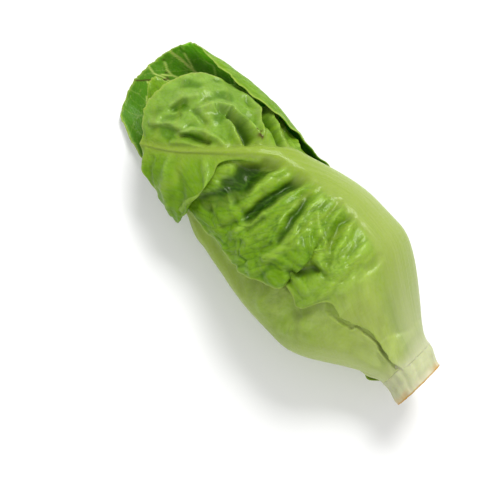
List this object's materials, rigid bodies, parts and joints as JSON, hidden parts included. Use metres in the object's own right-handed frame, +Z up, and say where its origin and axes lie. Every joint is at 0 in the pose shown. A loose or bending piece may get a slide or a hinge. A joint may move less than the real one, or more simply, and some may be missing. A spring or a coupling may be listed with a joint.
{
  "type": "head of lettuce",
  "caption": "Head of baby romaine lettuce lying on its side, with broad ribbed leaves wrapped one over the other round a short cut stem.",
  "frame": {"origin": "under the middle of the head's bounding box, on the surface that it lies on", "axes": "+X along the head from the leaf tips to the cut end of the stem, +Y across it towards the cover leaf's midrib, +Z up"},
  "size_m": [0.182, 0.072, 0.058],
  "materials": {
    "leaf": "satin",
    "heart_leaf": "satin",
    "stem": "satin"
  },
  "bodies": {
    "root": {"stem": "stem", "under_leaf": "leaf", "cover_leaf": "leaf", "side_leaf": "leaf", "shoulder_leaf": "leaf", "middle_leaf_1": "heart_leaf", "middle_leaf_2": "heart_leaf", "middle_leaf_3": "heart_leaf", "middle_leaf_4": "heart_leaf", "heart_leaf_1": "heart_leaf", "heart_leaf_2": "heart_leaf", "heart_leaf_3": "heart_leaf", "heart_leaf_4": "heart_leaf", "heart_leaf_5": "heart_leaf"}
  },
  "joints": []
}
